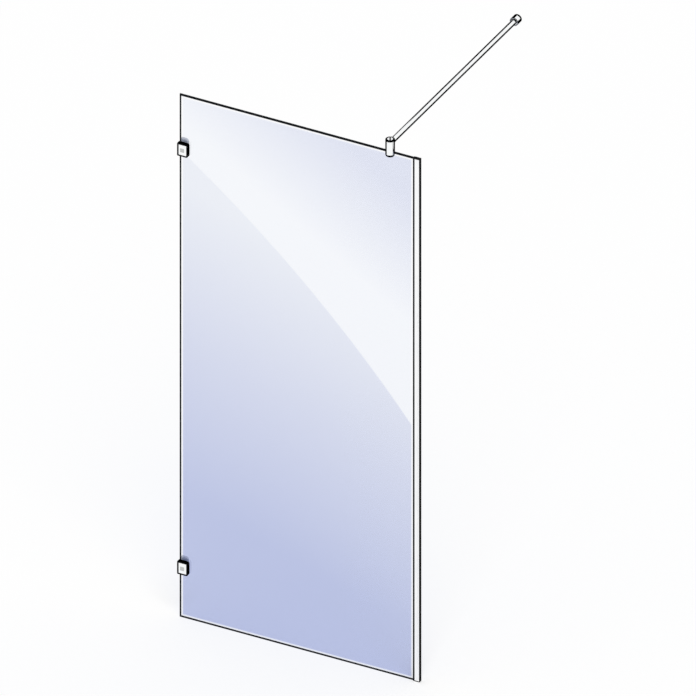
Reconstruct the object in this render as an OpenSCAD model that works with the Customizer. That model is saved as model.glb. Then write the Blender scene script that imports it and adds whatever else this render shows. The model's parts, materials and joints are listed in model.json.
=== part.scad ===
// Fixed shower screen. Two clamps hold one pane of glass to a wall, a metal rail guards its
// free edge, and a round bar runs from a slotted post on its top edge to a second wall.
// The origin is on the first wall's face, midway between the lower bracket's two wall screws.
// X runs from that wall along the glass, Y runs along the bar to the second wall, and Z is up.

/* [Glass] */
// Height of the glass
glass_h = 2000; // [1600:10:2200]
// Thickness of the glass
glass_t = 6; // [5:0.5:10]
// Width of the flat that is ground along each edge of the glass
arris = 0.6; // [0.2:0.1:1.2]
// First wall's face to the outer face of the free edge
screen_w = 895; // [600:5:1400]
// Gap between the first wall and the glass
wall_gap = 3.5; // [2:0.5:8]

/* [Edge rail] */
// Width of the metal rail, seen from the front
rail_w = 18.5; // [18:0.5:36]
// Thickness of the rail through the glass
rail_t = 12; // [11.2:0.2:20]
// Thickness of the rail's two cheeks
rail_wall = 1.8; // [1.2:0.1:2]
// Depth of the pocket that takes the glass
pocket_d = 11; // [8:0.5:13]
// Thickness of the web behind the pocket
web_t = 2; // [1:0.1:2.4]
// Width of the shadow line down each cheek
groove_w = 0.8; // [0.4:0.1:1.6]
// Depth of the shadow line
groove_d = 0.4; // [0.2:0.1:0.8]
// Thickness of the rubber under the edge of the glass in the pocket
seat_t = 1; // [0.5:0.1:2]
// Width of the rubber lip that shows on the glass beside the rail
lip_w = 5.5; // [3:0.1:8]
// Width of the bead along the lip, next to the rail
lip_bead = 2.5; // [0.6:0.1:2.8]
// How far the lip's bead stands past the pocket
lip_rise = 1.4; // [0.2:0.1:1.7]
// Thickness of the lip's thin edge on the glass
lip_edge = 0.4; // [0.2:0.1:0.8]
// Thickness of the bumper strip's head on the rail's outer side
bumper_t = 3; // [1.4:0.1:5]
// Radius of the bumper strip's two outer corners
bumper_r = 1.2; // [0.3:0.1:1.3]
// Depth of the bumper strip's stem in the rail
stem_d = 2.8; // [1.5:0.1:3]
// Height of the cap on each end of the rail
rail_cap_h = 3.5; // [3.5:0.5:10]
// Radius of the cap's outer corner
rail_cap_r = 3; // [1:0.5:3]
// Length of the cap's tongue in the rail
tongue_l = 12; // [6:1:30]

/* [Wall clamps] */
// Foot of the glass to the centre of the lower clamp
clamp_low = 195; // [80:5:400]
// Top of the glass to the centre of the upper clamp
clamp_high = 205; // [80:5:400]
// Width of the front plate
plate_w = 40; // [32:1:60]
// Height of the front plate
plate_h = 50; // [36:1:70]
// Thickness of the front plate
plate_t = 13; // [9:0.5:16]
// Radius of the front plate's two free corners
plate_r = 7; // [3.5:0.5:8]
// Radius of the front plate's two corners at the wall
plate_wall_r = 3.5; // [3.5:0.5:8]
// Radius of the front plate's rolled rim
plate_roll = 3; // [0.4:0.1:3.3]
// Gap between the front plate and the first wall
plate_gap = 0.5; // [0.3:0.1:2]
// Thickness of the rubber pads on both faces of the glass
pad_t = 1.5; // [1:0.1:3]
// Height of the rubber pad behind the glass
rear_pad_h = 36; // [20:1:60]
// Side of the square cap in the front plate
cover_w = 15; // [14:0.5:20]
// Thickness of the square cap
cover_t = 2.6; // [2:0.1:4]
// How far the square cap stands out of the plate
cover_proud = 0.4; // [0:0.1:1]
// Radius of the square cap's corners
cover_r = 1.5; // [1:0.1:3]
// Radius of the square cap's rolled rim
cover_roll = 0.5; // [0.2:0.1:0.9]
// Diameter of the clamp screw
clamp_screw_d = 6; // [5:0.5:8]
// Diameter of the clamp screw's head
clamp_head_d = 10; // [9:0.5:12]
// Height of the clamp screw's head
clamp_head_h = 4.2; // [3:0.1:4.8]
// Width across the flats of the clamp screw's socket
clamp_socket = 5; // [3:0.5:6]
// Depth of the clamp screw's socket
clamp_socket_depth = 2.8; // [1.5:0.1:2.8]
// The clamp screw ends this far inside the back of the bracket
tip_short = 1; // [0:0.5:3]
// Diameter of the round end of the notch in the glass
notch_d = 16; // [13:0.5:20]

/* [Wall brackets] */
// Reach of the bracket's leg along the glass
leg_w = 31; // [28:1:60]
// Thickness of the leg behind the glass
leg_t = 9; // [6:0.5:16]
// Height of the bracket
bracket_h = 68; // [67:1:140]
// Radius of the four corners of the leg behind the glass
leg_r = 10; // [2:0.5:10.5]
// Thickness of the leg on the wall
wall_leg_t = 6; // [4:0.5:9]
// Reach of the wall leg past the back of the other leg
wall_leg_reach = 13.5; // [13:0.5:40]
// Radius of the two free corners of the wall leg
wall_leg_r = 4; // [1:0.5:6]
// Radius of the fillet between the two legs
leg_fillet = 1.5; // [0.5:0.1:1.6]
// Back of the leg behind the glass to the axis of the wall screws
screw_setback = 7; // [7:0.5:7.5]
// Distance between the two wall screws
screw_spacing = 36; // [20:1:37]
// Diameter of the holes for the wall screws
screw_hole_d = 5.5; // [4:0.5:6]
// Diameter of the countersinks for the wall screws
screw_head_d = 10; // [8:0.5:10.4]

/* [Post] */
// Diameter of the post
post_d = 32; // [30:0.5:45]
// Height of the post with its clamp screw
post_h = 64; // [58:1:90]
// How far the post reaches down over the glass
post_grip = 19; // [14:0.5:22]
// Outer face of the free edge to the post's axis
post_inset = 113; // [60:1:450]
// Radius of the post's rounded foot
post_foot_r = 5; // [1.5:0.5:6]
// Depth of the V-shaped joint line between the post and its clamp screw's head
joint_d = 1; // [0.2:0.1:1.2]
// Thickness of the soft liner between post and glass
liner_t = 1; // [0.6:0.1:2]
// How far the liner's ends stay inside the post's outline
liner_inset = 0.4; // [0.1:0.1:1]
// Thickness of the clamp screw's head
post_head_t = 3; // [2.4:0.1:4]
// Width of the small flat round the clamp screw's head
post_head_edge = 1; // [0.2:0.1:1.2]
// Diameter of the clamp screw's threaded neck
post_neck_d = 12; // [8:0.5:13]
// Width of the screwdriver slot
slot_w = 2.4; // [1:0.1:3]
// Depth of the screwdriver slot
slot_d = 1.4; // [0.8:0.1:1.6]
// Turn of the screwdriver slot, seen from above
slot_turn = 118; // [0:1:180]
// Diameter of the two grub screws that grip the glass
grip_screw_d = 5; // [4:0.5:6]
// Length of the two grub screws that grip the glass
grip_screw_l = 7; // [5:0.5:7]
// Distance between the two grub screws that grip the glass
grip_screw_gap = 13; // [9:0.5:14]
// Width across the flats of their sockets
grip_socket = 2.5; // [2:0.5:3]

/* [Bar] */
// Diameter of the bar
bar_d = 19; // [15:0.5:20]
// Wall of the bar's tube
bar_wall = 1.5; // [1:0.1:1.8]
// Top of the post to the bar's axis
bar_drop = 15.5; // [13:0.5:18]
// Middle of the glass to the second wall's face
bar_reach = 895; // [400:5:1400]
// Wall of the post in front of the bar's end
post_front = 6; // [4:0.5:9]

/* [Wall flange] */
// Diameter of the cup at the second wall
cup_d = 31; // [30.5:0.5:50]
// Length of the cup
cup_l = 27; // [25:1:50]
// Thickness of the cup's rim
cup_rim = 2.5; // [1.5:0.1:3]
// Width of the small flat round the cup's edge
cup_edge = 1; // [0.2:0.1:1.2]
// Depth of the open mouth in the cup's face
mouth_d = 9; // [3:0.5:9.5]
// Thickness of the cup's floor, which slides on the bar
cup_floor = 8; // [6:0.5:8.5]
// Thickness of the disc on the second wall
disc_t = 5; // [3:0.5:7]
// Length of the spigot inside the bar
spigot_l = 13; // [12:0.5:30]
// Diameter of the hole for the second wall's screw
disc_hole_d = 5.5; // [4:0.5:6]
// Diameter of the countersink for the second wall's screw
disc_head_d = 10; // [8:0.5:10]
// Diameter of the cup's grub screw
cup_screw_d = 4; // [3:0.5:5]
// Length of the cup's grub screw
cup_screw_l = 5.2; // [4:0.1:5.8]
// Width across the flats of its socket
cup_socket = 2; // [1.5:0.5:2.5]

/* [Clearances] */
// Slack round fixed shanks, plugs and stems
fit = 0.05; // [0.02:0.01:0.2]
// Slack at the faces that slide along the glass, the disc and the second wall
slide_gap = 0.1; // [0.05:0.01:0.2]
// Radial slack of the cup round the disc
disc_slack = 0.3; // [0.2:0.1:0.6]
// Radial slack of the cup on the bar
bar_fit = 0.08; // [0.02:0.01:0.1]
// Slack round the clamp screw where it passes through plate and pads
screw_slack = 0.3; // [0.1:0.1:0.8]

/* [Hidden] */
$fn = 96;

GLASS = [0.76, 0.81, 0.92, 0.45];
CHROME = [0.93, 0.94, 0.95];
SATIN = [0.76, 0.78, 0.77];
STEEL = [0.62, 0.63, 0.65];
GREY = [0.60, 0.61, 0.63];
BLACK = [0.07, 0.07, 0.08];
NYLON = [0.90, 0.90, 0.88];

// How far each cutting shape runs past the face that it leaves
past = 1;
// Corner radii of the front plate and of its cap, at low x and at high x
PLATE_RADII = [plate_wall_r, plate_r];
COVER_RADII = [cover_r, cover_r];
// Middle, foot and top of the glass
glass_y = -(screw_setback + leg_t + pad_t + glass_t / 2);
foot_z = -clamp_low;
top_z = foot_z + glass_h;
// Distance between the centres of the two clamps
clamp_spacing = glass_h - clamp_low - clamp_high;
// Inner edge of the rail, and the free edge of the glass inside it
rail_x = screen_w - bumper_t - rail_w;
glass_w = rail_x + pocket_d - seat_t - wall_gap;
// Width of the rail's pocket and of its outer channel
pocket_w = rail_t - 2 * rail_wall;
channel_x = pocket_d + web_t;
rail_h = glass_h - 2 * rail_cap_h;
// Axis of the clamp screws, and the faces that the two pads lie on
clamp_x = plate_gap + plate_w / 2;
plate_y = glass_y - glass_t / 2 - pad_t;
leg_y = glass_y + glass_t / 2 + pad_t;
// The wall leg ends where the other leg's corners start
wall_leg_h = bracket_h - 2 * leg_r;
// Metal under the clamp screw's head, between the cap's recess and the pad
cover_recess = cover_t - cover_proud;
under_head = plate_t - cover_recess - clamp_head_h - screw_slack;
// Post, bar and flange
post_x = screen_w - post_inset;
post_foot = top_z - post_grip;
bar_z = post_foot + post_h - bar_drop;
liner_gap = glass_t + 2 * slide_gap;
post_slot_w = liner_gap + 2 * liner_t;
post_slot_h = post_grip + slide_gap + liner_t;
bar_start = glass_y - post_d / 2 + post_front + slide_gap;
far_y = glass_y + bar_reach;
cavity_d = cup_l - mouth_d - cup_floor;
// Middle of the cup's floor, measured from the second wall
floor_mid = cavity_d + cup_floor / 2;
// Bore of the cup's mouth and of the cavity behind its floor
cup_bore = cup_d - 2 * cup_rim;
// The disc hides in the cup with room for the cup to slide over it
disc_d = cup_bore - 2 * disc_slack;

// A rectangle about its own middle. Its corners have one radius at low x and one at high x.
module round_rect(w, h, radii)
{
    translate([radii[0] - w / 2, -h / 2])
        square([w - radii[0] - radii[1], h]);
    for (side = [0, 1])
        mirror([1 - side, 0]) {
            translate([0, radii[side] - h / 2])
                square([w / 2, h - 2 * radii[side]]);
            for (y = [-1, 1])
                translate([w / 2 - radii[side], y * (h / 2 - radii[side])])
                    circle(radii[side]);
        }
}

// A flat outline drawn in X and Z, made solid from y0 back to y0 + t
module upright(y0, t)
{
    translate([0, y0 + t, 0])
        rotate([90, 0, 0])
            linear_extrude(height = t)
                children();
}

// A round rod or hole along Y
module rod_y(r, y0, y1)
{
    translate([0, y0, 0])
        rotate([-90, 0, 0])
            cylinder(r = r, h = y1 - y0);
}

// Half the section of a plate whose front rim is rolled over
module rolled_half(half, t, roll)
{
    square([half, t - roll]);
    square([half - roll, t]);
    translate([half - roll, t - roll])
        intersection() {
            circle(roll);
            square(roll);
        }
}

// The same rectangle as a plate with a rolled front rim. Its back lies on z = 0.
module rolled_plate(w, h, t, radii, roll)
{
    for (side = [0, 1])
        mirror([1 - side, 0, 0]) {
            for (y = [-1, 1])
                translate([w / 2 - radii[side], y * (h / 2 - radii[side]), 0])
                    rotate_extrude()
                        rolled_half(radii[side], t, roll);
            rotate([90, 0, 0])
                linear_extrude(height = h - 2 * radii[side], center = true)
                    rolled_half(w / 2, t, roll);
        }
    for (side = [0, 1])
        mirror([0, side, 0])
            translate([radii[0] - w / 2, 0, 0])
                rotate([90, 0, 90])
                    linear_extrude(height = w - radii[0] - radii[1])
                        rolled_half(h / 2, t, roll);
}

// A headless screw along z with a hexagon socket at its far end
module grub_screw(d, l, socket)
{
    difference() {
        cylinder(d = d, h = l);
        translate([0, 0, l - socket])
            cylinder(d = socket / cos(30), h = socket + past, $fn = 6);
    }
}

// Section through the glass: a long thin rectangle with its corners ground off
module arris_section(len)
{
    half = glass_t / 2;
    polygon([
        [arris, -half], [len - arris, -half], [len, arris - half], [len, half - arris],
        [len - arris, half], [arris, half], [0, half - arris], [0, arris - half],
    ]);
}

module glass_panel()
{
    color(GLASS)
        difference() {
            translate([wall_gap, glass_y, foot_z])
                intersection() {
                    linear_extrude(height = glass_h)
                        arris_section(glass_w);
                    translate([glass_w, 0, 0])
                        rotate([0, -90, 0])
                            linear_extrude(height = glass_w)
                                arris_section(glass_h);
                }
            for (z = [0, clamp_spacing])
                translate([clamp_x, 0, z])
                    upright(glass_y - glass_t, 2 * glass_t) {
                        circle(d = notch_d);
                        translate([-clamp_x, -notch_d / 2])
                            square([clamp_x, notch_d]);
                    }
        }
}

// Everything on the rail starts at its inner edge
module at_rail(z)
{
    translate([rail_x, glass_y, z])
        children();
}

// The rail is one extrusion: a pocket for the glass, a web, and a channel for the bumper
module edge_profile()
{
    color(CHROME)
        at_rail(foot_z + rail_cap_h)
            linear_extrude(height = rail_h)
                difference() {
                    translate([0, -rail_t / 2])
                        square([rail_w, rail_t]);
                    translate([-past, -pocket_w / 2])
                        square([pocket_d + past, pocket_w]);
                    translate([channel_x, -pocket_w / 2])
                        square([rail_w, pocket_w]);
                    for (side = [0, 1])
                        mirror([0, side])
                            translate([pocket_d + (web_t - groove_w) / 2, rail_t / 2 - groove_d])
                                square([groove_w, groove_d + past]);
                }
}

// A rubber U round the edge of the glass, with a lip on each face
module glazing_gasket()
{
    inner = glass_t / 2;
    outer = pocket_w / 2;
    side = [
        [pocket_d, outer],
        [0, outer],
        [0, outer + lip_rise],
        [-lip_bead, outer + lip_rise],
        [-lip_w, inner + lip_edge],
        [-lip_w, inner],
        [pocket_d - seat_t, inner],
    ];
    other_side = [for (i = [len(side) - 1:-1:0]) [side[i][0], -side[i][1]]];
    color(BLACK)
        at_rail(foot_z)
            linear_extrude(height = glass_h)
                polygon(concat(side, other_side));
}

// A rubber T pushed into the rail's outer channel
module bumper_strip()
{
    color(BLACK)
        at_rail(foot_z + rail_cap_h)
            linear_extrude(height = rail_h) {
                translate([rail_w - stem_d, fit - pocket_w / 2])
                    square([stem_d, pocket_w - 2 * fit]);
                for (side = [0, 1])
                    translate([rail_w, 0])
                        mirror([0, side])
                            mirror([1, -1])
                                rolled_half(rail_t / 2, bumper_t, bumper_r);
            }
}

// End cap of the rail, forked round the glass, with a tongue down the channel
module rail_cap()
{
    cap_w = rail_w + bumper_t;
    color(BLACK)
        difference() {
            union() {
                upright(-rail_t / 2, rail_t)
                    rolled_half(cap_w, rail_cap_h, rail_cap_r);
                translate([channel_x + fit, fit - pocket_w / 2, -tongue_l])
                    cube([
                        rail_w - stem_d - channel_x - 2 * fit,
                        pocket_w - 2 * fit,
                        tongue_l,
                    ]);
            }
            translate([-past, -pocket_w / 2, -past])
                cube([pocket_d + past, pocket_w, rail_cap_h + 2 * past]);
        }
}

module profile_top_cap()
{
    at_rail(top_z - rail_cap_h)
        rail_cap();
}

module profile_bottom_cap()
{
    at_rail(foot_z + rail_cap_h)
        mirror([0, 0, 1])
            rail_cap();
}

// The wall leg, drawn flat and stood up on the first wall
module wall_leg()
{
    reach = leg_t + wall_leg_reach;
    translate([0, leg_y, 0])
        rotate([90, 0, 90])
            linear_extrude(height = wall_leg_t) {
                translate([0, -wall_leg_h / 2])
                    square([reach - wall_leg_r, wall_leg_h]);
                translate([0, wall_leg_r - wall_leg_h / 2])
                    square([reach, wall_leg_h - 2 * wall_leg_r]);
                for (side = [-1, 1])
                    translate([reach - wall_leg_r, side * (wall_leg_h / 2 - wall_leg_r)])
                        circle(wall_leg_r);
            }
}

// An angle bracket: one leg on the wall, one behind the glass, and a fillet between them
module wall_bracket()
{
    sink = (screw_head_d - screw_hole_d) / 2;
    color(GREY)
        difference() {
            union() {
                upright(leg_y, leg_t)
                    translate([leg_w / 2, 0])
                        round_rect(leg_w, bracket_h, [leg_r, leg_r]);
                wall_leg();
                translate([wall_leg_t, leg_y + leg_t, -wall_leg_h / 2])
                    linear_extrude(height = wall_leg_h)
                        difference() {
                            square(leg_fillet);
                            translate([leg_fillet, leg_fillet])
                                circle(leg_fillet);
                        }
            }
            for (side = [-1, 1])
                translate([0, 0, side * screw_spacing / 2])
                    rotate([0, 90, 0]) {
                        translate([0, 0, -past])
                            cylinder(d = screw_hole_d, h = wall_leg_t + 2 * past);
                        translate([0, 0, wall_leg_t - sink])
                            cylinder(d1 = screw_hole_d, d2 = screw_head_d, h = sink);
                    }
            translate([clamp_x, 0, 0])
                rod_y(clamp_screw_d / 2 + fit, leg_y - past, leg_y + leg_t + past);
        }
}

// Rubber between the glass and the bracket
module rear_gasket()
{
    color(BLACK)
        difference() {
            upright(leg_y - pad_t, pad_t)
                translate([plate_gap, -rear_pad_h / 2])
                    square([leg_w - plate_gap, rear_pad_h]);
            translate([clamp_x, 0, 0])
                rod_y(clamp_screw_d / 2 + screw_slack, leg_y - pad_t - past, leg_y + past);
        }
}

// Rubber between the glass and the front plate
module front_gasket()
{
    color(BLACK)
        translate([clamp_x, 0, 0])
            difference() {
                upright(plate_y, pad_t)
                    round_rect(plate_w, plate_h, PLATE_RADII);
                rod_y(clamp_screw_d / 2 + screw_slack, plate_y - past, plate_y + pad_t + past);
            }
}

// A plastic ring that keeps the clamp screw off the glass
module screw_sleeve()
{
    color(NYLON)
        translate([clamp_x, 0, 0])
            difference() {
                rod_y(notch_d / 2 - fit, glass_y - glass_t / 2, glass_y + glass_t / 2);
                rod_y(clamp_screw_d / 2 + screw_slack, glass_y - glass_t, glass_y + glass_t);
            }
}

// The front plate, with a square recess for its cap and a counterbore for the screw's head
module clamp_plate()
{
    color(CHROME)
        translate([clamp_x, plate_y, 0])
            difference() {
                rotate([90, 0, 0])
                    rolled_plate(plate_w, plate_h, plate_t, PLATE_RADII, plate_roll);
                upright(-plate_t - past, cover_recess + past)
                    round_rect(cover_w + 2 * fit, cover_w + 2 * fit, COVER_RADII);
                rod_y(clamp_head_d / 2 + screw_slack, -plate_t, -under_head);
                rod_y(clamp_screw_d / 2 + screw_slack, -plate_t, past);
            }
}

// A cap head screw from the front plate into the bracket
module clamp_screw()
{
    head_y = plate_y - under_head;
    color(STEEL)
        translate([clamp_x, 0, 0])
            difference() {
                union() {
                    rod_y(clamp_head_d / 2, head_y - clamp_head_h, head_y);
                    rod_y(clamp_screw_d / 2, head_y, leg_y + leg_t - tip_short);
                }
                translate([0, head_y - clamp_head_h + clamp_socket_depth, 0])
                    rotate([90, 0, 0])
                        cylinder(d = clamp_socket / cos(30), h = clamp_head_h, $fn = 6);
            }
}

// The square cap over the screw's head
module cover_cap()
{
    color(SATIN)
        translate([clamp_x, plate_y - plate_t + cover_recess, 0])
            rotate([90, 0, 0])
                rolled_plate(cover_w, cover_w, cover_t, COVER_RADII, cover_roll);
}

// Each part of the lower clamp is made again for the upper one
module at_upper()
{
    translate([0, 0, clamp_spacing])
        children();
}

module lower_wall_bracket()
{
    wall_bracket();
}

module upper_wall_bracket()
{
    at_upper()
        wall_bracket();
}

module lower_rear_gasket()
{
    rear_gasket();
}

module upper_rear_gasket()
{
    at_upper()
        rear_gasket();
}

module lower_front_gasket()
{
    front_gasket();
}

module upper_front_gasket()
{
    at_upper()
        front_gasket();
}

module lower_screw_sleeve()
{
    screw_sleeve();
}

module upper_screw_sleeve()
{
    at_upper()
        screw_sleeve();
}

module lower_clamp_plate()
{
    clamp_plate();
}

module upper_clamp_plate()
{
    at_upper()
        clamp_plate();
}

module lower_clamp_screw()
{
    clamp_screw();
}

module upper_clamp_screw()
{
    at_upper()
        clamp_screw();
}

module lower_cover_cap()
{
    cover_cap();
}

module upper_cover_cap()
{
    at_upper()
        cover_cap();
}

// Places the two grub screws that grip the glass, each along +z from the liner's back
module at_grip_screws()
{
    for (side = [-1, 1])
        translate([
            post_x + side * grip_screw_gap / 2,
            glass_y + post_slot_w / 2,
            top_z - post_grip / 2,
        ])
            rotate([-90, 0, 0])
                children();
}

// The foot of the post, smaller by an inset: a round form that is rolled over at its lower end
module post_round(inset, h)
{
    translate([0, 0, h])
        mirror([0, 0, 1])
            rotate_extrude()
                rolled_half(post_d / 2 - inset, h - inset, post_foot_r - inset);
}

// A cylinder slotted from below for the glass and bored from behind for the bar. The clamp
// screw's hole breaks into that bore from above.
module bar_post()
{
    r = post_d / 2;
    h = post_h - post_head_t;
    color(CHROME)
        difference() {
            translate([post_x, glass_y, post_foot])
                difference() {
                    union() {
                        post_round(0, h - joint_d);
                        translate([0, 0, h - joint_d])
                            cylinder(r1 = r, r2 = r - joint_d, h = joint_d);
                    }
                    translate([-r - past, -post_slot_w / 2, -past])
                        cube([2 * (r + past), post_slot_w, post_slot_h + past]);
                    translate([0, 0, bar_z - post_foot]) {
                        rod_y(bar_d / 2 + bar_fit, post_front - r, r + past);
                        cylinder(d = post_neck_d + 2 * fit, h = post_h);
                    }
                }
            at_grip_screws()
                translate([0, 0, -past])
                    cylinder(d = grip_screw_d + 2 * fit, h = r);
        }
}

// A soft U in the slot, cut round with the post
module post_liner()
{
    r = post_d / 2;
    color(BLACK)
        translate([post_x, glass_y, post_foot])
            intersection() {
                difference() {
                    translate([-r, -post_slot_w / 2, 0])
                        cube([2 * r, post_slot_w, post_slot_h]);
                    translate([-r - past, -liner_gap / 2, -past])
                        cube([2 * (r + past), liner_gap, post_slot_h - liner_t + past]);
                }
                post_round(liner_inset, post_slot_h);
            }
}

module post_glass_screws()
{
    color(STEEL)
        at_grip_screws()
            grub_screw(grip_screw_d, grip_screw_l, grip_socket);
}

// The slotted screw that closes the post and presses on the bar
module post_clamp_screw()
{
    r = post_d / 2;
    seat_z = post_foot + post_h - post_head_t;
    neck_l = seat_z - bar_z - bar_d / 2 - fit;
    color(CHROME)
        translate([post_x, glass_y, seat_z])
            difference() {
                union() {
                    rotate_extrude()
                        polygon([
                            [0, 0],
                            [r - joint_d, 0],
                            [r, joint_d],
                            [r, post_head_t - post_head_edge],
                            [r - post_head_edge, post_head_t],
                            [0, post_head_t],
                        ]);
                    translate([0, 0, -neck_l])
                        cylinder(d = post_neck_d, h = neck_l + past);
                }
                rotate([0, 0, slot_turn])
                    translate([-r - past, -slot_w / 2, post_head_t - slot_d])
                        cube([2 * (r + past), slot_w, slot_d + past]);
            }
}

// Starts at the second wall's face on the bar's axis. There z points back towards the glass
// and y points up.
module from_far_wall()
{
    translate([post_x, far_y, bar_z])
        rotate([90, 0, 0])
            children();
}

// A tube from the blind bore in the post to the disc on the second wall
module support_bar()
{
    end_z = disc_t + slide_gap;
    len = far_y - end_z - bar_start;
    color(CHROME)
        from_far_wall()
            translate([0, 0, end_z])
                difference() {
                    cylinder(d = bar_d, h = len);
                    translate([0, 0, -past])
                        cylinder(d = bar_d - 2 * bar_wall, h = len + 2 * past);
                }
}

// A disc for the second wall, with a spigot inside the bar and one countersunk hole
module wall_flange_base()
{
    l = disc_t + spigot_l;
    sink = (disc_head_d - disc_hole_d) / 2;
    color(STEEL)
        from_far_wall()
            difference() {
                union() {
                    cylinder(d = disc_d, h = disc_t);
                    cylinder(d = bar_d - 2 * bar_wall - 2 * fit, h = l);
                }
                translate([0, 0, -past])
                    cylinder(d = disc_hole_d, h = l + 2 * past);
                translate([0, 0, l - sink])
                    cylinder(d1 = disc_hole_d, d2 = disc_head_d, h = sink);
            }
}

// Starts on the bar's axis in the cup's floor, with z pointing down through the grub screw
module at_cup_screw()
{
    from_far_wall()
        translate([0, 0, floor_mid])
            rotate([90, 0, 0])
                children();
}

// A cup that slides along the bar and hides the disc
module wall_flange()
{
    r = cup_d / 2;
    color(CHROME)
        difference() {
            from_far_wall()
                difference() {
                    rotate_extrude()
                        polygon([
                            [0, 0],
                            [r, 0],
                            [r, cup_l - cup_edge],
                            [r - cup_edge, cup_l],
                            [0, cup_l],
                        ]);
                    translate([0, 0, -past])
                        cylinder(d = cup_bore, h = cavity_d + past);
                    cylinder(d = bar_d + 2 * bar_fit, h = cup_l);
                    translate([0, 0, cup_l - mouth_d])
                        cylinder(d = cup_bore, h = mouth_d + past);
                }
            at_cup_screw()
                cylinder(d = cup_screw_d + 2 * fit, h = r + past);
        }
}

module flange_grub_screw()
{
    color(STEEL)
        at_cup_screw()
            translate([0, 0, bar_d / 2 + slide_gap])
                grub_screw(cup_screw_d, cup_screw_l, cup_socket);
}

glass_panel();
edge_profile();
glazing_gasket();
bumper_strip();
profile_top_cap();
profile_bottom_cap();
lower_wall_bracket();
upper_wall_bracket();
lower_rear_gasket();
upper_rear_gasket();
lower_front_gasket();
upper_front_gasket();
lower_screw_sleeve();
upper_screw_sleeve();
lower_clamp_plate();
upper_clamp_plate();
lower_clamp_screw();
upper_clamp_screw();
lower_cover_cap();
upper_cover_cap();
bar_post();
post_liner();
post_glass_screws();
post_clamp_screw();
support_bar();
wall_flange_base();
wall_flange();
flange_grub_screw();
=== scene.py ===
import json
import math

import bpy
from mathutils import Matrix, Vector


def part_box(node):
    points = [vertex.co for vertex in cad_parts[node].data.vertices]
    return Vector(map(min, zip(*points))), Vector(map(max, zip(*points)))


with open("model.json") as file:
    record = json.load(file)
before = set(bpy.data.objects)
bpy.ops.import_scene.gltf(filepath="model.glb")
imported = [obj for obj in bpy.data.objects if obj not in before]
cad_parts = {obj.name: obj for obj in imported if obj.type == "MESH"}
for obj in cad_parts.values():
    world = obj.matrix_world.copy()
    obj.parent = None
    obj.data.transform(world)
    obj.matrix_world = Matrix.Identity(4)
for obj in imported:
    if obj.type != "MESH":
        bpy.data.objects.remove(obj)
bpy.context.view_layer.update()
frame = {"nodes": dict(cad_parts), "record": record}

# The pane, and the rubber that hides its edge in the rail, as the CAD has them. All lengths in
# this script are in metres.
GLASS_LOW, GLASS_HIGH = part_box("glass_panel")
LIP_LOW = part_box("glazing_gasket")[0]
FOOT = GLASS_LOW.z
TOP = GLASS_HIGH.z

WHITE = (1.0, 1.0, 1.0, 1.0)
BLACK = (0.0, 0.0, 0.0, 1.0)
# The kinds of ray that show the floor and the room as plain white
SEEN = ("Is Camera Ray", "Is Glossy Ray", "Is Transmission Ray")
# A noise gives a finish's first tone below the lower level and its second one above the upper
NOISE_LOW = 0.3
NOISE_HIGH = 0.7
# A noise with the same scale along all three axes
EVEN = (1, 1, 1)
# Height that a bump of full strength stands for
BUMP_HEIGHT = 0.0002


def srgb(red, green, blue):
    """A linear colour from the red, green and blue of an 8-bit picture."""
    def linear(level):
        v = level / 255
        return v / 12.92 if v <= 0.04045 else ((v + 0.055) / 1.055) ** 2.4
    return (linear(red), linear(green), linear(blue), 1.0)


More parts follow.
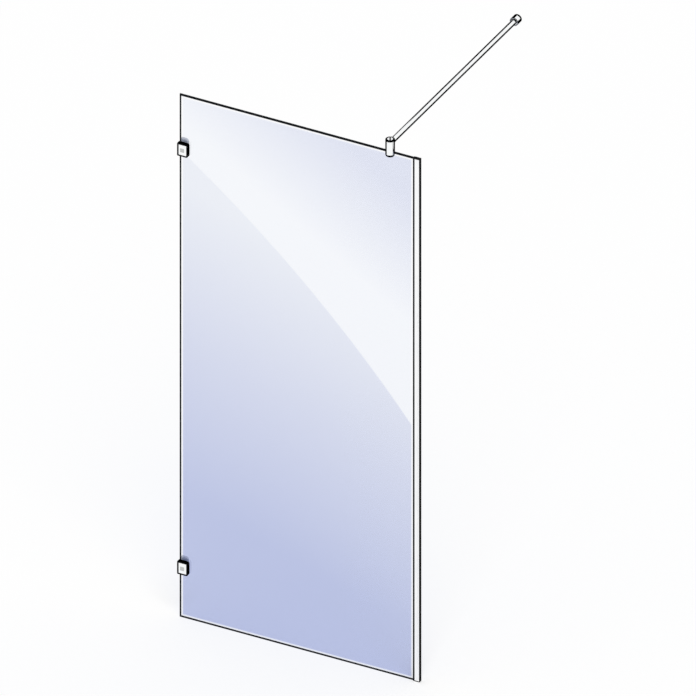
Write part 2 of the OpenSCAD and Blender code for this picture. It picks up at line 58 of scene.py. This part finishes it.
class Tree:
    """A short way to write a material's nodes. Most methods add a node and return its output."""

    def __init__(self, owner):
        owner.use_nodes = True
        self.tree = owner.node_tree
        self.tree.nodes.clear()

    def node(self, kind, **settings):
        """The new node itself."""
        made = self.tree.nodes.new("ShaderNode" + kind)
        for name, value in settings.items():
            setattr(made, name, value)
        return made

    def put(self, socket, value):
        """Links an output to the socket, or sets the socket to a plain value."""
        if isinstance(value, bpy.types.NodeSocket):
            self.tree.links.new(value, socket)
        elif value is not None:
            socket.default_value = value

    def math(self, operation, a, b=None, c=None, clamp=False):
        made = self.node("Math", operation=operation, use_clamp=clamp)
        for socket, value in zip(made.inputs, (a, b, c)):
            self.put(socket, value)
        return made.outputs[0]

    def least(self, first, *others):
        for other in others:
            first = self.math("MINIMUM", first, other)
        return first

    def most(self, first, *others):
        for other in others:
            first = self.math("MAXIMUM", first, other)
        return first

    def spread(self, value, low, high, to_low=0.0, to_high=1.0, kind="LINEAR"):
        """The value's way from low to high, turned into the way from to_low to to_high."""
        made = self.node("MapRange", interpolation_type=kind)
        for socket, v in zip(made.inputs, (value, low, high, to_low, to_high)):
            self.put(socket, v)
        return made.outputs[0]

    def ramp(self, value, *stops):
        made = self.node("ValToRGB")
        line = made.color_ramp
        while len(line.elements) < len(stops):
            line.elements.new(0.5)
        for element, (place, colour) in zip(line.elements, stops):
            element.position = place
            element.color = colour
        self.put(made.inputs[0], value)
        return made.outputs[0]

    def mix_colour(self, share, a, b):
        """Inputs 6 and 7 and output 2 are the node's colours."""
        made = self.node("Mix", data_type="RGBA")
        self.put(made.inputs["Factor"], share)
        self.put(made.inputs[6], a)
        self.put(made.inputs[7], b)
        return made.outputs[2]

    def mix_shader(self, share, a, b):
        made = self.node("MixShader")
        for socket, value in zip(made.inputs, (share, a, b)):
            self.put(socket, value)
        return made.outputs[0]

    def place(self):
        """The point's place in the part's own frame."""
        return self.node("TexCoord").outputs["Object"]

    def axes(self, vector):
        made = self.node("SeparateXYZ")
        self.put(made.inputs[0], vector)
        return made.outputs

    def share_along(self, axis):
        """How far the surface's normal points along one of the part's axes, either way."""
        normal = self.node("TexCoord").outputs["Normal"]
        return self.math("ABSOLUTE", self.axes(normal)[axis])

    def distance(self, a, b):
        """The length of the way from zero that goes a along one axis and b along another."""
        square = self.math("MULTIPLY_ADD", a, a, self.math("MULTIPLY", b, b))
        return self.math("SQRT", square)

    def noise(self, scale, stretch=EVEN, detail=3.0, roughness=0.6):
        """Noise at the point's place, with a further scale for each axis."""
        mapping = self.node("Mapping")
        self.put(mapping.inputs["Vector"], self.place())
        self.put(mapping.inputs["Scale"], stretch)
        made = self.node("TexNoise")
        self.put(made.inputs["Vector"], mapping.outputs[0])
        self.put(made.inputs["Scale"], scale)
        self.put(made.inputs["Detail"], detail)
        self.put(made.inputs["Roughness"], roughness)
        return made.outputs[0]

    def tones(self, noise, first, second):
        """A colour between two tones, by a noise."""
        return self.ramp(noise, (NOISE_LOW, first), (NOISE_HIGH, second))

    def levels(self, noise, first, second):
        """A number between two others, by a noise."""
        return self.spread(noise, NOISE_LOW, NOISE_HIGH, first, second)

    def bump(self, noise, strength):
        made = self.node("Bump")
        self.put(made.inputs["Height"], noise)
        self.put(made.inputs["Strength"], strength)
        self.put(made.inputs["Distance"], BUMP_HEIGHT)
        return made.outputs[0]

    def plain(self, kind, colour):
        """A shader of a kind that needs a colour alone."""
        made = self.node(kind)
        self.put(made.inputs["Color"], colour)
        return made.outputs[0]

    def surface(self, **values):
        """The Principled shader. Each value is named as its socket, with _ for a space."""
        made = self.node("BsdfPrincipled")
        for name, value in values.items():
            self.put(made.inputs[name.replace("_", " ")], value)
        return made.outputs[0]

    def rays(self, *names):
        """1 for the kinds of ray named, and 0 for the rest."""
        path = self.node("LightPath").outputs
        return self.most(*(path[name] for name in names))

    def reflected(self):
        """1 for rays that metal or glass has reflected, and 0 for the rest."""
        depth = self.node("LightPath").outputs["Glossy Depth"]
        return self.math("GREATER_THAN", depth, 0.5)

    def end(self, shader, kind="OutputMaterial"):
        made = self.node(kind)
        self.tree.links.new(shader, made.inputs["Surface"])


def material(name):
    made = bpy.data.materials.new(name)
    return made, Tree(made)


# The pane

# Its tint, in the colours that it shows in front of white
DEEP = srgb(190, 198, 229)
MIDDLE = srgb(213, 218, 237)
PALE = srgb(236, 239, 246)
# Heights above the foot, at the wall side, where the tint is deepest and palest
TINT_LOW = 0.48
TINT_HIGH = 1.67
# Each metre towards the free edge counts as this much more height
TINT_TILT = 0.34
# The painted sheen's two colours, the heights where it has them, and its tilt. The sheen is a painted
# reflection.
PAINTED_SHEEN = srgb(246, 248, 252)
PAINTED_SHEEN_FAR = srgb(222, 226, 241)
PAINTED_SHEEN_START = 1.89
PAINTED_SHEEN_END = 2.37
PAINTED_SHEEN_TILT = 0.62
# The painted sheen, a painted reflection, is the part of the pane outside one large circle
PAINTED_SHEEN_X = -2.490
PAINTED_SHEEN_Z = -1.899
PAINTED_SHEEN_RADIUS = 4.290
PAINTED_SHEEN_SOFTNESS = 0.003
# Width of the dark line painted into the pane along each ground edge, painted shade in the tone of
# the edge
LEFT_SHADE_LINE = 0.0048
FOOT_SHADE_LINE = 0.0052
TOP_SHADE_LINE = 0.0060
# Width of the pale band painted beside that line as a painted highlight, the share of it at full
# strength, and that strength
PAINTED_GLOW_WIDTH = 0.0085
PAINTED_GLOW_FULL = 0.6
PAINTED_GLOW_STRENGTH = 0.9
# Near-black tone of the ground edges and of the lines beside them: the ground finish is real, the
# darkness is painted shade
EDGE_SHADE_TONE = srgb(12, 15, 19)
# The ground faces round the pane, painted near black as shade, are those whose normal's share along Y
# is below this
GROUND_SHARE = 0.9
# Colour that one face of the pane leaves to light and to the reflections in metal
FILM_TINT = srgb(238, 241, 250)


def pane_colour(t, x, z, height):
    """The tint, and the curved sheen painted over it as a painted reflection."""
    level = t.math("MULTIPLY_ADD", x, TINT_TILT, height)
    tint = t.ramp(
        t.spread(level, TINT_LOW, TINT_HIGH),
        (0.0, DEEP),
        (0.5, MIDDLE),
        (1.0, PALE),
    )
    far = t.math("MULTIPLY_ADD", x, PAINTED_SHEEN_TILT, height)
    painted_sheen = t.ramp(t.spread(far, PAINTED_SHEEN_START, PAINTED_SHEEN_END), (0.0, PAINTED_SHEEN), (1.0, PAINTED_SHEEN_FAR))
    radius = t.distance(t.math("SUBTRACT", x, PAINTED_SHEEN_X), t.math("SUBTRACT", z, PAINTED_SHEEN_Z))
    in_painted_sheen = t.spread(
        radius, PAINTED_SHEEN_RADIUS - PAINTED_SHEEN_SOFTNESS, PAINTED_SHEEN_RADIUS + PAINTED_SHEEN_SOFTNESS, kind="SMOOTHSTEP"
    )
    return t.mix_colour(in_painted_sheen, tint, painted_sheen)


def pane_material():
    """Clear glass with a pale blue tint, a painted sheen that stands for a reflection, painted dark
    lines of shade and a painted pale highlight along its free edges, and ground edges painted dark as
    shade.
    """
    made, t = material("pane_glass")
    x, _, z = t.axes(t.place())
    height = t.math("SUBTRACT", z, FOOT)
    # How far the point lies inside the painted dark lines of shade along the three free edges, and
    # then also inside the rubber at the fourth
    free_margin = t.least(
        t.math("SUBTRACT", x, GLASS_LOW.x + LEFT_SHADE_LINE),
        t.math("SUBTRACT", height, FOOT_SHADE_LINE),
        t.math("SUBTRACT", TOP - TOP_SHADE_LINE, z),
    )
    margin = t.least(free_margin, t.math("SUBTRACT", LIP_LOW.x, x))
    # The pale band along the edges is a painted highlight
    glow = t.spread(
        margin, PAINTED_GLOW_WIDTH * PAINTED_GLOW_FULL, PAINTED_GLOW_WIDTH, PAINTED_GLOW_STRENGTH, 0.0, kind="SMOOTHSTEP"
    )
    glass = t.surface(
        Base_Color=t.mix_colour(glow, pane_colour(t, x, z, height), WHITE),
        Transmission_Weight=1.0,
        Roughness=0.0,
        IOR=1.5,
    )
    film = t.plain("BsdfTransparent", FILM_TINT)
    clear = t.mix_shader(t.reflected(), glass, film)
    # The near-black ground edges and the dark lines beside them are painted shade
    edge_shade = t.surface(
        Base_Color=EDGE_SHADE_TONE,
        Roughness=0.4,
        Specular_IOR_Level=0.06,
    )
    is_edge_or_shade_line = t.most(
        t.math("LESS_THAN", t.share_along(1), GROUND_SHARE),
        t.math("LESS_THAN", free_margin, 0.0),
    )
    body = t.mix_shader(is_edge_or_shade_line, clear, edge_shade)
    t.end(t.mix_shader(t.rays("Is Shadow Ray", "Is Diffuse Ray"), body, film))
    return made


# The chrome pieces and their painted dark edges, painted shade

# Reach of the painted shade along the edges of the post, and the tone of all painted shade on the
# metal
EDGE_SHADE_REACH = 0.0036
PAINTED_SHADE_TONE = srgb(10, 11, 13)
# Where the rounded and the true normal agree less than the first number, the painted shade is full,
# and where they agree more than the second, there is none
EDGE_SHADE_FULL = 0.975
EDGE_SHADE_NONE = 0.99
# A face counts as square to an axis when its normal's share along that axis is above SQUARE,
# and as parallel to it when the share is below PARALLEL
SQUARE = 0.99
PARALLEL = 0.12
# Widths of the painted dark borders of the plates, painted shade, narrow on the right and at the top
# and wide on the left and at the foot
PLATE_SHADE_BORDER = 0.005
PLATE_WIDE_SHADE_BORDER = 0.0072
# Widths of the painted dark rings, painted shade, of the post's head, the two ends of the cup and the
# post's foot
HEAD_SHADE_RING = 0.0065
MOUTH_SHADE_RING = 0.0015
CUP_SHADE_RING = 0.008
FOOT_SHADE_RING = 0.0095
# How dark the flat of the cup's mouth is, from 0 to 1
MOUTH_SHADE = 0.6
# A face this far below the top of the post's head belongs to its slot or its side
BELOW_TOP = 0.0002
# The slot's direction, and half the width of the painted dark line of shade along it
SLOT_TURN = math.radians(118)
SLOT_SHADE_HALF = 0.0023
# What polished chrome keeps of the light at a grazing angle
EDGE_TINT = (0.1, 0.1, 0.1, 1.0)


def painted_edge_shade(t):
    """Painted shade: 1 along the edges of a piece and 0 on its faces."""
    soft = t.node("Bevel", samples=8)
    t.put(soft.inputs["Radius"], EDGE_SHADE_REACH)
    agreement = t.node("VectorMath", operation="DOT_PRODUCT")
    t.put(agreement.inputs[0], soft.outputs[0])
    t.put(agreement.inputs[1], t.node("NewGeometry").outputs["Normal"])
    return t.spread(agreement.outputs["Value"], EDGE_SHADE_FULL, EDGE_SHADE_NONE, 1.0, 0.0)


def plate_painted_shade(node):
    """Painted shade on a clamp plate: dark on its rolled rim and its sides, and in a border on its
    flat front.
    """
    low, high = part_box(node)

    def edges(t):
        x, _, z = t.axes(t.place())
        margin = t.least(
            t.math("SUBTRACT", x, low.x + PLATE_WIDE_SHADE_BORDER),
            t.math("SUBTRACT", high.x - PLATE_SHADE_BORDER, x),
            t.math("SUBTRACT", z, low.z + PLATE_WIDE_SHADE_BORDER),
            t.math("SUBTRACT", high.z - PLATE_SHADE_BORDER, z),
        )
        shade_border = t.math("LESS_THAN", margin, 0.0)
        return t.most(shade_border, t.math("LESS_THAN", t.share_along(1), SQUARE))

    return edges


def post_painted_shade(t):
    """Painted shade on the post: dark on its leaning faces and joint line, along its edges, and in a
    ring round its foot.
    """
    share = t.share_along(2)
    leaning = t.math(
        "MULTIPLY", t.math("GREATER_THAN", share, PARALLEL), t.math("LESS_THAN", share, SQUARE)
    )
    # A ring of painted shade round the foot
    ring = t.math("LESS_THAN", t.axes(t.place())[2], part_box("bar_post")[0].z + FOOT_SHADE_RING)
    return t.most(leaning, ring, painted_edge_shade(t))


def head_painted_shade(t):
    """Painted shade on the post's head: dark in its slot and on its side, and in a ring and a line
    along the slot on its top.
    """
    low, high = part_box("post_clamp_screw")
    x, y, z = t.axes(t.place())
    dx = t.math("SUBTRACT", x, (low.x + high.x) / 2)
    dy = t.math("SUBTRACT", y, (low.y + high.y) / 2)
    # A ring and a line along the slot, both painted shade
    ring = t.math("GREATER_THAN", t.distance(dx, dy), (high.x - low.x) / 2 - HEAD_SHADE_RING)
    across = t.math(
        "MULTIPLY_ADD", dx, math.sin(SLOT_TURN), t.math("MULTIPLY", dy, -math.cos(SLOT_TURN))
    )
    slot = t.math("LESS_THAN", t.math("ABSOLUTE", across), SLOT_SHADE_HALF)
    below = t.math("LESS_THAN", z, high.z - BELOW_TOP)
    return t.most(ring, slot, below)


def cup_painted_shade(t):
    """Painted shade on the cup: a dark ring at each end, and less dark painted shade on its flat
    mouth.
    """
    low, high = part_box("wall_flange")
    y = t.axes(t.place())[1]
    mouth = t.math("LESS_THAN", y, low.y + MOUTH_SHADE_RING)
    wall_end = t.math("GREATER_THAN", y, high.y - CUP_SHADE_RING)
    flat = t.math("GREATER_THAN", t.share_along(1), SQUARE)
    return t.math("MULTIPLY", t.most(mouth, wall_end), t.spread(flat, 0.0, 1.0, 1.0, MOUTH_SHADE))


def chrome_material(name, edges=None):
    """Polished chrome plate with faint wiping marks and, on most pieces, dark edges of painted shade.
    """
    made, t = material(name)
    cloud = t.noise(60.0, roughness=0.5)
    wipes = t.noise(1.0, stretch=(900, 900, 60), detail=4.0)
    tone = t.tones(cloud, srgb(246, 248, 249), srgb(252, 253, 253))
    if edges:
        tone = t.mix_colour(edges(t), tone, PAINTED_SHADE_TONE)
    t.end(t.surface(
        Base_Color=tone,
        Metallic=1.0,
        Roughness=t.levels(wipes, 0.03, 0.09),
        Specular_Tint=EDGE_TINT,
        Normal=t.bump(wipes, 0.04),
    ))
    return made


# The other finishes

# Width of the painted dark line, painted shade, along the rail's inner edge
RAIL_SHADE_LINE = 0.0022


def rail_material():
    """Bright polished extrusion with a fine draw grain along its length, and a painted dark line of
    shade along its inner edge.
    """
    made, t = material("drawn_aluminium")
    grain = t.noise(1.0, stretch=(2600, 2600, 6), detail=4.0)
    cloud = t.noise(9.0, detail=2.0, roughness=0.5)
    tone = t.tones(cloud, srgb(249, 250, 251), srgb(254, 254, 254))
    inner_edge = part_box("edge_profile")[0].x + RAIL_SHADE_LINE
    # Painted shade: a dark line along the inner edge
    line = t.math("LESS_THAN", t.axes(t.place())[0], inner_edge)
    t.end(t.surface(
        Base_Color=t.mix_colour(line, tone, PAINTED_SHADE_TONE),
        Metallic=1.0,
        Roughness=t.levels(grain, 0.16, 0.3),
        Normal=t.bump(grain, 0.12),
    ))
    return made


def grained_material(name, noise, tones, rough, bump, **values):
    """A finish whose tone, roughness and bump all follow one fine grain."""
    made, t = material(name)
    grain = t.noise(**noise)
    t.end(t.surface(
        Base_Color=t.tones(grain, *tones),
        Roughness=t.levels(grain, *rough),
        Normal=t.bump(grain, bump),
        **values,
    ))
    return made


FINISHES = {
    "glass": pane_material(),
    "aluminium": rail_material(),
    "chrome": chrome_material("chrome_tube"),
    # Plain turned stainless steel
    "steel": grained_material(
        "turned_steel",
        noise={"scale": 1.0, "stretch": (1800, 60, 1800)},
        tones=(srgb(186, 188, 192), srgb(214, 216, 219)),
        rough=(0.22, 0.38),
        bump=0.15,
        Metallic=1.0,
    ),
    # Soft black rubber with a fine moulded grain
    "rubber": grained_material(
        "black_rubber",
        noise={"scale": 2400.0},
        tones=(srgb(10, 11, 12), srgb(20, 21, 23)),
        rough=(0.7, 0.9),
        bump=0.25,
        Specular_IOR_Level=0.06,
    ),
    # Light grey satin moulding
    "cap_plastic": grained_material(
        "satin_moulding",
        noise={"scale": 1500.0},
        tones=(srgb(200, 203, 202), srgb(212, 214, 212)),
        rough=(0.3, 0.42),
        bump=0.15,
        Specular_IOR_Level=0.4,
    ),
    # Black satin moulding
    "black_plastic": grained_material(
        "black_moulding",
        noise={"scale": 1800.0},
        tones=(srgb(11, 12, 13), srgb(21, 22, 25)),
        rough=(0.5, 0.65),
        bump=0.15,
        Specular_IOR_Level=0.1,
    ),
    # Light grey powder coat with a fine orange peel
    "grey_coat": grained_material(
        "grey_powder_coat",
        noise={"scale": 900.0, "detail": 2.0, "roughness": 0.5},
        tones=(srgb(207, 209, 212), srgb(214, 216, 218)),
        rough=(0.45, 0.6),
        bump=0.3,
        Specular_IOR_Level=0.3,
    ),
    # Natural white nylon
    "nylon": grained_material(
        "natural_nylon",
        noise={"scale": 1200.0},
        tones=(srgb(228, 228, 220), srgb(240, 240, 233)),
        rough=(0.45, 0.6),
        bump=0.2,
        Subsurface_Weight=0.1,
        Subsurface_Radius=(0.001, 0.001, 0.001),
    ),
}
# The chrome pieces whose dark edges of painted shade follow their own shape
CHROME_NODES = {
    "lower_clamp_plate": chrome_material("chrome_lower_plate", plate_painted_shade("lower_clamp_plate")),
    "upper_clamp_plate": chrome_material("chrome_upper_plate", plate_painted_shade("upper_clamp_plate")),
    "bar_post": chrome_material("chrome_post", post_painted_shade),
    "post_clamp_screw": chrome_material("chrome_head", head_painted_shade),
    "wall_flange": chrome_material("chrome_cup", cup_painted_shade),
}


def dress_nodes():
    """Gives every CAD node the finish of its slot in the record."""
    for part in frame["record"]["subparts"]:
        node = part["node"]
        finish = CHROME_NODES.get(node, FINISHES[part["material_slot"]])
        for slot in frame["nodes"][node].material_slots:
            slot.material = finish


# The floor and the room

# Half the side of the floor, and its colour
FLOOR_HALF = 40.0
FLOOR_TONE = srgb(238, 238, 238)
# What the floor adds of its own for rays that show it, so that it reads white
FLOOR_LIFT = 0.27
# Strength of the white room as a lamp
ROOM_LIGHT = 0.576


def sheet_object(name, corners):
    """One flat face."""
    mesh = bpy.data.meshes.new(name)
    mesh.from_pydata(corners, [], [range(len(corners))])
    made = bpy.data.objects.new(name, mesh)
    bpy.context.scene.collection.objects.link(made)
    return made


def floor():
    """A plain white floor at the foot of the glass."""
    h = FLOOR_HALF
    made = sheet_object("floor", [(-h, -h, FOOT), (h, -h, FOOT), (h, h, FOOT), (-h, h, FOOT)])
    paper, t = material("white_floor")
    glow = t.node("Emission")
    t.put(glow.inputs["Strength"], t.math("MULTIPLY", t.rays(*SEEN), FLOOR_LIFT))
    both = t.node("AddShader")
    t.put(both.inputs[0], t.plain("BsdfDiffuse", FLOOR_TONE))
    t.put(both.inputs[1], glow.outputs[0])
    t.end(both.outputs[0])
    made.data.materials.append(paper)


def room():
    """A white room for the camera, the metal and the glass, and soft light for the rest."""
    world = bpy.data.worlds.new("room")
    bpy.context.scene.world = world
    t = Tree(world)
    sky = t.node("Background")
    t.put(sky.inputs["Color"], WHITE)
    t.put(sky.inputs["Strength"], t.spread(t.rays(*SEEN), 0.0, 1.0, ROOM_LIGHT, 1.0))
    t.end(sky.outputs[0], "OutputWorld")


# The dark cards

# A card lies this far above the floor
CARD_LIFT = 0.005
# The camera sees the floor and the room in the bar along a cone round the bar's own line, whose
# reach along Y is this share of its radius
BAR_CONE = 1.16
TUBE_RADIUS = 2.0
# How far the tube of cards round that line reaches past what the two ends of the bar show
TUBE_SPARE = 0.5
# The tube's two parts, from one angle in degrees to another, and the strips in each
TUBE_LOW = (140, 358)
TUBE_LOW_STRIPS = 24
TUBE_HIGH = (112, 140)
TUBE_HIGH_STRIPS = 4
# The high part starts this much further back, so that the top of the post's head stays bright
TUBE_HIGH_START = 0.64
# The camera sees the floor in the post along a circle round it. The ring of card there runs from
# one angle in degrees to another.
RING_RADIUS = 3.32
RING_HALF_WIDTH = 0.4
RING = (25, 210)
RING_STEPS = 24
# Corners of the card in front, for the rail
FRONT_CARD = ((0.93, 0), (0.93, -2.1), (2.5, -2.1), (3.3, -1.2), (3.6, 0))


def dark_card(name, corners):
    """A dark card that shows in the metal and not in the clear glass, whose reflections are sharp."""
    made = sheet_object(name, corners)
    felt, t = material(name)
    sharp = t.node("LightPath").outputs["Is Singular Ray"]
    from_metal = t.math("SUBTRACT", t.reflected(), sharp, clamp=True)
    hidden = t.plain("BsdfTransparent", WHITE)
    t.end(t.mix_shader(from_metal, hidden, t.plain("BsdfDiffuse", BLACK)))
    made.data.materials.append(felt)
    made.visible_camera = False
    made.visible_diffuse = False
    made.visible_shadow = False


def arc(centre, radius, first, last, steps):
    """Points round a circle, from one angle in degrees to another."""
    points = []
    for k in range(steps + 1):
        turn = math.radians(first + (last - first) * k / steps)
        points.append((centre[0] + radius * math.cos(turn), centre[1] + radius * math.sin(turn)))
    return points


def tube_cards(part, axis, angles, strips, near, far):
    """Strips of a tube round the bar's own line."""
    points = arc(axis, TUBE_RADIUS, *angles, strips)
    for k, ((x1, z1), (x2, z2)) in enumerate(zip(points, points[1:])):
        corners = [(x1, near, z1), (x2, near, z2), (x2, far, z2), (x1, far, z1)]
        dark_card("card_bar_%s_%d" % (part, k), corners)


def cards():
    """Dark cards behind the screen, for the dark sides of the bar, the post and the rail."""
    bar_low, bar_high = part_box("support_bar")
    bar_axis = ((bar_low.x + bar_high.x) / 2, (bar_low.z + bar_high.z) / 2)
    near = BAR_CONE * TUBE_RADIUS + bar_low.y - TUBE_SPARE
    far = BAR_CONE * TUBE_RADIUS + bar_high.y + TUBE_SPARE
    tube_cards("low", bar_axis, TUBE_LOW, TUBE_LOW_STRIPS, near, far)
    tube_cards("high", bar_axis, TUBE_HIGH, TUBE_HIGH_STRIPS, near + TUBE_HIGH_START, far)
    post_low, post_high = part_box("bar_post")
    post_axis = ((post_low.x + post_high.x) / 2, (post_low.y + post_high.y) / 2)
    inner = arc(post_axis, RING_RADIUS - RING_HALF_WIDTH, *RING, RING_STEPS)
    outer = arc(post_axis, RING_RADIUS + RING_HALF_WIDTH, *RING, RING_STEPS)
    low = FOOT + CARD_LIFT
    dark_card("card_post", [(x, y, low) for x, y in inner + outer[::-1]])
    dark_card("card_front", [(x, y, low) for x, y in FRONT_CARD])


# The lamp and the camera

LAMP_ENERGY = 1.1
LAMP_ANGLE = math.radians(35)
LAMP_TOWARDS = Vector((-0.37, 0.506, -0.776))
VIEW_AZIMUTH = math.radians(27.83)
VIEW_ELEVATION = math.radians(31.07)
# Side of the picture, the point that its middle shows, and how far from it the camera stands
VIEW_SIDE = 2.2803
VIEW_AIM = Vector((0.3120, 0.5741, 0.6008))
VIEW_DISTANCE = 6.0


def lamp():
    """A wide soft lamp from above, on the right and in front, which no surface mirrors."""
    light = bpy.data.lights.new("soft_sun", "SUN")
    light.angle = LAMP_ANGLE
    light.energy = LAMP_ENERGY
    made = bpy.data.objects.new("soft_sun", light)
    made.rotation_euler = LAMP_TOWARDS.to_track_quat("-Z", "Y").to_euler()
    made.visible_camera = False
    made.visible_glossy = False
    made.visible_transmission = False
    bpy.context.scene.collection.objects.link(made)


def camera():
    """The photograph's view, in parallel projection."""
    level = math.cos(VIEW_ELEVATION)
    away = Vector((
        math.sin(VIEW_AZIMUTH) * level,
        -math.cos(VIEW_AZIMUTH) * level,
        math.sin(VIEW_ELEVATION),
    ))
    data = bpy.data.cameras.new("camera")
    data.type = "ORTHO"
    data.ortho_scale = VIEW_SIDE
    made = bpy.data.objects.new("camera", data)
    made.location = VIEW_AIM + VIEW_DISTANCE * away
    made.rotation_euler = (math.radians(90) - VIEW_ELEVATION, 0, VIEW_AZIMUTH)
    bpy.context.scene.collection.objects.link(made)
    bpy.context.scene.camera = made


dress_nodes()
floor()
room()
cards()
lamp()
camera()
bpy.context.scene.view_settings.view_transform = "Standard"
